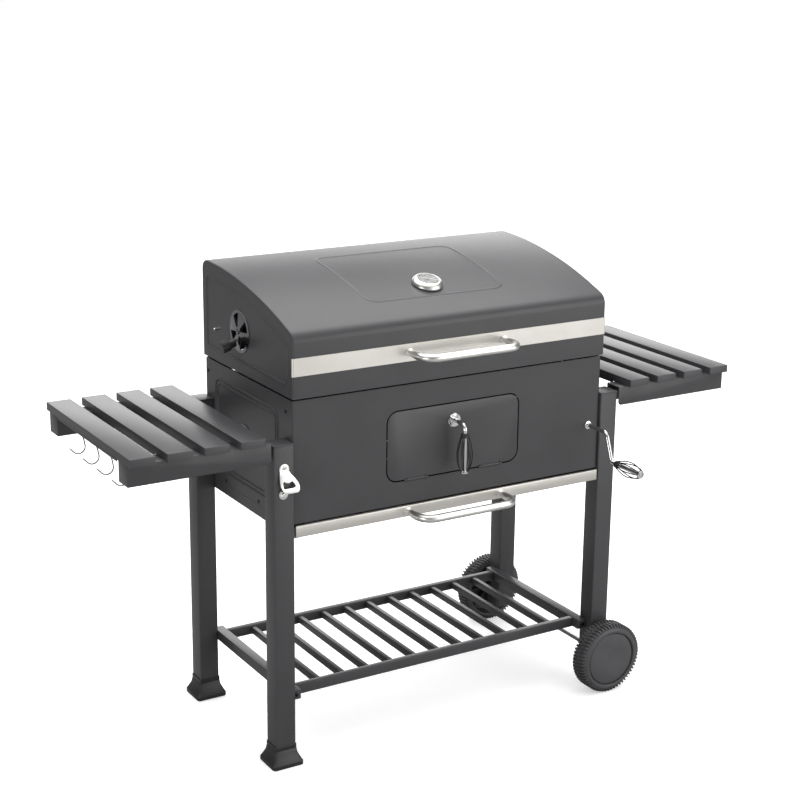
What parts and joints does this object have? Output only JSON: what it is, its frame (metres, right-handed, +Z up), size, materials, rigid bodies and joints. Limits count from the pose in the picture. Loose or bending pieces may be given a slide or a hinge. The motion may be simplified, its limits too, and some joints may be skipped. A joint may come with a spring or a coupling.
{
  "type": "charcoal grill trolley",
  "caption": "Boxy hooded charcoal grill on a wheeled leg frame: fold-down slatted side tables, crank-lifted coal tray, ash drawer, stoking door, air vents, lower shelf.",
  "frame": {"origin": "floor level, under the middle of the whole grill's box", "axes": "+X to the crank and wheel end, +Y to the back (the hood's hinges), +Z up; the stoking door faces -Y"},
  "size_m": [1.58, 0.7056, 1.0755],
  "materials": {
    "black_enamel": "black enamel",
    "black_plastic": "dark moulded plastic",
    "chrome": "bright chrome",
    "galvanised": "galvanised steel",
    "powder_coat": "satin dark grey powder coat",
    "stainless": "brushed stainless",
    "wire_steel": "plated spring wire"
  },
  "bodies": {
    "stand": {"leg_front_left": "powder_coat", "leg_rear_left": "powder_coat", "leg_front_right": "powder_coat", "leg_rear_right": "powder_coat", "foot_front": "black_plastic", "foot_rear": "black_plastic", "shelf_end_left": "powder_coat", "shelf_end_right": "powder_coat", "shelf_grid": "powder_coat", "axle": "galvanised", "firebox_front": "powder_coat", "firebox_back": "powder_coat", "firebox_side_left": "powder_coat", "firebox_side_right": "powder_coat", "drawer_guide_left": "powder_coat", "drawer_guide_right": "powder_coat", "hood_hinge_left": "powder_coat", "hood_hinge_right": "powder_coat", "bottle_opener": "chrome"},
    "hood": {"hood_shell": "powder_coat", "hood_end_left": "powder_coat", "hood_end_right": "powder_coat", "hood_trim": "stainless", "hood_handle": "stainless", "thermometer": "chrome"},
    "hood_vent_left": {"hood_vent_left": "chrome"},
    "hood_vent_right": {"hood_vent_right": "chrome"},
    "firebox_vent_left": {"firebox_vent_left": "chrome"},
    "firebox_vent_right": {"firebox_vent_right": "chrome"},
    "drawer": {"ash_drawer": "galvanised", "drawer_band": "stainless", "drawer_handle": "stainless"},
    "door": {"charcoal_door": "powder_coat"},
    "latch": {"door_latch": "chrome", "door_latch_grip": "wire_steel"},
    "crank": {"crank": "chrome", "crank_grip": "wire_steel", "lift_pinion": "galvanised"},
    "tray": {"charcoal_tray": "black_enamel", "lift_rack": "galvanised"},
    "grate_left": {"grate_left": "chrome"},
    "grate_right": {"grate_right": "chrome"},
    "wheel_front": {"wheel_front": "black_plastic"},
    "wheel_rear": {"wheel_rear": "black_plastic"},
    "table_left": {"table_arm_left_front": "powder_coat", "table_arm_left_rear": "powder_coat", "slat_left_1": "powder_coat", "slat_left_2": "powder_coat", "slat_left_3": "powder_coat", "slat_left_4": "powder_coat", "hook_1": "chrome", "hook_2": "chrome", "hook_3": "chrome", "hook_4": "chrome"},
    "table_right": {"table_arm_right_front": "powder_coat", "table_arm_right_rear": "powder_coat", "slat_right_1": "powder_coat", "slat_right_2": "powder_coat", "slat_right_3": "powder_coat", "slat_right_4": "powder_coat"}
  },
  "joints": [
    {"name": "hood_hinge", "type": "hinge", "parent": "stand", "child": "hood", "pos_m": [0, 0.30385, 0.853], "axis": [-1, 0, 0], "range_deg": [0, 95]},
    {"name": "hood_vent_left_turn", "type": "hinge", "parent": "hood", "child": "hood_vent_left", "pos_m": [-0.4122, 0.10075, 0.945], "axis": [-1, 0, 0], "range_deg": [0, 45]},
    {"name": "hood_vent_right_turn", "type": "hinge", "parent": "hood", "child": "hood_vent_right", "pos_m": [0.4122, 0.10075, 0.945], "axis": [1, 0, 0], "range_deg": [0, 45]},
    {"name": "firebox_vent_left_turn", "type": "hinge", "parent": "stand", "child": "firebox_vent_left", "pos_m": [-0.4105, 0.08575, 0.683], "axis": [-1, 0, 0], "range_deg": [0, 45]},
    {"name": "firebox_vent_right_turn", "type": "hinge", "parent": "stand", "child": "firebox_vent_right", "pos_m": [0.4105, 0.08575, 0.683], "axis": [1, 0, 0], "range_deg": [0, 45]},
    {"name": "drawer_slide", "type": "slide", "parent": "stand", "child": "drawer", "axis": [0, -1, 0], "range_m": [0, 0.35]},
    {"name": "door_hinge", "type": "hinge", "parent": "stand", "child": "door", "pos_m": [0, -0.14675, 0.6225], "axis": [1, 0, 0], "range_deg": [0, 80]},
    {"name": "latch_turn", "type": "hinge", "parent": "door", "child": "latch", "pos_m": [0, -0.14625, 0.745], "axis": [0, 1, 0], "range_deg": [0, 90]},
    {"name": "crank_turn", "type": "hinge", "parent": "stand", "child": "crank", "pos_m": [0.3804, 0.07275, 0.6775], "axis": [0, 1, 0], "range_deg": [0, 360]},
    {"name": "tray_lift", "type": "slide", "parent": "stand", "child": "tray", "axis": [0, 0, 1], "range_m": [0, 0.07539]},
    {"name": "grate_left_lift", "type": "slide", "parent": "stand", "child": "grate_left", "axis": [0, 0, 1], "range_m": [0, 0.1]},
    {"name": "grate_right_lift", "type": "slide", "parent": "stand", "child": "grate_right", "axis": [0, 0, 1], "range_m": [0, 0.1]},
    {"name": "wheel_front_spin", "type": "hinge", "parent": "stand", "child": "wheel_front", "pos_m": [0.42855, -0.16825, 0.088], "axis": [0, 1, 0], "continuous": true},
    {"name": "wheel_rear_spin", "type": "hinge", "parent": "stand", "child": "wheel_rear", "pos_m": [0.42855, 0.30275, 0.088], "axis": [0, 1, 0], "continuous": true},
    {"name": "table_left_fold", "type": "hinge", "parent": "stand", "child": "table_left", "pos_m": [-0.4843, 0.07275, 0.7358], "axis": [0, -1, 0], "range_deg": [0, 90]},
    {"name": "table_right_fold", "type": "hinge", "parent": "stand", "child": "table_right", "pos_m": [0.4843, 0.07275, 0.7358], "axis": [0, 1, 0], "range_deg": [0, 90]}
  ],
  "couplings": [
    {"joint": "crank_turn", "follows": "tray_lift", "rad_per_m": 83.333}
  ]
}
